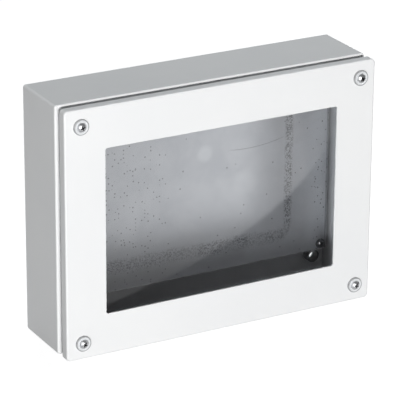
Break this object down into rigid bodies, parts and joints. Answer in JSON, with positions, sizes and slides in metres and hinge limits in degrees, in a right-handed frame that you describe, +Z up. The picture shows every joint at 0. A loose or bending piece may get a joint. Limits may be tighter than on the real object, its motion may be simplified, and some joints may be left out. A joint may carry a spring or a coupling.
{
  "type": "junction box",
  "caption": "Shallow rectangular sheet-steel junction box with a screwed pan lid, a large clear window and a bare mounting plate inside; fixes to a wall through its back.",
  "frame": {"origin": "below the middle of the object, on the plane that the case stands on", "axes": "+Z up, +X to the right as seen from the front, lid facing -Y"},
  "size_m": [0.3, 0.0846, 0.225],
  "materials": {
    "light_paint": "light grey powder coat, fine texture, semi-matt",
    "zinc_sheet": "zinc-plated sheet with a dull mottle",
    "zinc_fastener": "bright zinc plating",
    "black_fastener": "black zinc plating, glossy",
    "clear_pane": "clear, glossy",
    "black_foam": "matt foam",
    "grey_nylon": "matt nylon"
  },
  "bodies": {
    "case": {"enclosure_body": "light_paint", "corner_brackets": "light_paint", "lid_bushes": "zinc_fastener", "wall_sleeves": "light_paint", "plate_spacers": "zinc_fastener", "mounting_plate": "zinc_sheet", "plate_screws": "black_fastener", "earth_stud": "zinc_fastener", "earth_washer": "zinc_fastener", "earth_lock_washer": "zinc_fastener", "earth_nut": "zinc_fastener"},
    "lid": {"lid_panel": "light_paint", "window_pane": "clear_pane", "pane_seal": "black_foam", "pane_frame": "zinc_sheet", "pane_studs": "zinc_fastener", "pane_nuts": "zinc_fastener", "lid_gasket": "black_foam"},
    "washer_tl": {"lid_washer_tl": "grey_nylon"},
    "screw_tl": {"lid_screw_tl": "zinc_fastener", "screw_keeper_tl": "grey_nylon"},
    "washer_tr": {"lid_washer_tr": "grey_nylon"},
    "screw_tr": {"lid_screw_tr": "zinc_fastener", "screw_keeper_tr": "grey_nylon"},
    "washer_bl": {"lid_washer_bl": "grey_nylon"},
    "screw_bl": {"lid_screw_bl": "zinc_fastener", "screw_keeper_bl": "grey_nylon"},
    "washer_br": {"lid_washer_br": "grey_nylon"},
    "screw_br": {"lid_screw_br": "zinc_fastener", "screw_keeper_br": "grey_nylon"}
  },
  "joints": [
    {"name": "lid_lift", "type": "slide", "parent": "case", "child": "lid", "axis": [0, -1, 0], "range_m": [0, 0.12]},
    {"name": "screw_tl_travel", "type": "slide", "parent": "lid", "child": "washer_tl", "axis": [0, -1, 0], "range_m": [0, 0.0096]},
    {"name": "screw_tl_turn", "type": "hinge", "parent": "washer_tl", "child": "screw_tl", "pos_m": [-0.135, -0.0377, 0.21], "axis": [0, -1, 0], "range_deg": [0, 4500]},
    {"name": "screw_tr_travel", "type": "slide", "parent": "lid", "child": "washer_tr", "axis": [0, -1, 0], "range_m": [0, 0.0096]},
    {"name": "screw_tr_turn", "type": "hinge", "parent": "washer_tr", "child": "screw_tr", "pos_m": [0.135, -0.0377, 0.21], "axis": [0, -1, 0], "range_deg": [0, 4500]},
    {"name": "screw_bl_travel", "type": "slide", "parent": "lid", "child": "washer_bl", "axis": [0, -1, 0], "range_m": [0, 0.0096]},
    {"name": "screw_bl_turn", "type": "hinge", "parent": "washer_bl", "child": "screw_bl", "pos_m": [-0.135, -0.0377, 0.015], "axis": [0, -1, 0], "range_deg": [0, 4500]},
    {"name": "screw_br_travel", "type": "slide", "parent": "lid", "child": "washer_br", "axis": [0, -1, 0], "range_m": [0, 0.0096]},
    {"name": "screw_br_turn", "type": "hinge", "parent": "washer_br", "child": "screw_br", "pos_m": [0.135, -0.0377, 0.015], "axis": [0, -1, 0], "range_deg": [0, 4500]}
  ],
  "couplings": [
    {"joint": "screw_tl_turn", "follows": "screw_tl_travel", "rad_per_m": 7854},
    {"joint": "screw_tr_turn", "follows": "screw_tr_travel", "rad_per_m": 7854},
    {"joint": "screw_bl_turn", "follows": "screw_bl_travel", "rad_per_m": 7854},
    {"joint": "screw_br_turn", "follows": "screw_br_travel", "rad_per_m": 7854}
  ]
}
